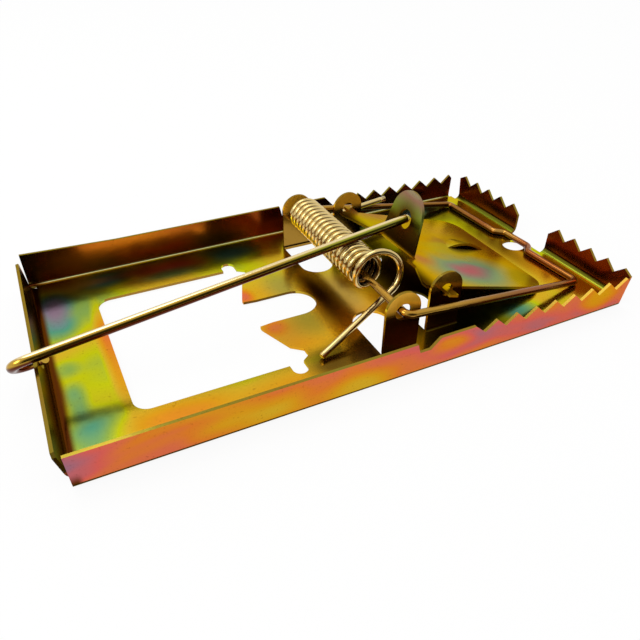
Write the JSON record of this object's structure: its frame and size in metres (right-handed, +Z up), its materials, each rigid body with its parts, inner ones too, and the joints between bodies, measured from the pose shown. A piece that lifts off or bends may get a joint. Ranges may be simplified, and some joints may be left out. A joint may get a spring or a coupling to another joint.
{
  "type": "all-steel mouse trap",
  "caption": "Sprung all-metal mouse trap: toothed tray of bent sheet, wire striker on a torsion spring, tilting bait plate with a holed tab, and a looped setting rod.",
  "frame": {"origin": "centre of the whole trap in plan, on the surface that the tray lies on; the trap is in its sprung state", "axes": "+X from the plain end with the setting rod's loop to the toothed end, +Y from the near plain side wall to the far one, +Z up"},
  "size_m": [0.1199, 0.0622, 0.0213],
  "materials": {
    "tray_sheet": "yellow zinc chromate on steel sheet",
    "striker_wire": "yellow zinc chromate on steel wire",
    "spring_wire": "pale yellow zinc on spring wire",
    "plate_sheet": "yellow zinc chromate on steel sheet",
    "rod_wire": "yellow zinc chromate on steel wire"
  },
  "bodies": {
    "base": {"base": "tray_sheet", "spring": "spring_wire"},
    "striker": {"striker": "striker_wire"},
    "trigger_plate": {"trigger_plate": "plate_sheet"},
    "setting_rod": {"setting_rod": "rod_wire"}
  },
  "joints": [
    {"name": "striker_hinge", "type": "hinge", "parent": "base", "child": "striker", "pos_m": [0.0066, -0.00056, 0.0095], "axis": [0, -1, 0], "range_deg": [0, 186], "stiffness_Nm_per_rad": 0.02, "springref_deg": -57.3, "deforming": ["spring"]},
    {"name": "plate_hinge", "type": "hinge", "parent": "base", "child": "trigger_plate", "pos_m": [0.0184, -0.00056, 0.0093], "axis": [0, -1, 0], "range_deg": [0, 18]},
    {"name": "rod_hinge", "type": "hinge", "parent": "base", "child": "setting_rod", "pos_m": [-0.0561, -0.00537, 0.00632], "axis": [0.1145, -0.7011, -0.7038], "range_deg": [0, 85]}
  ]
}
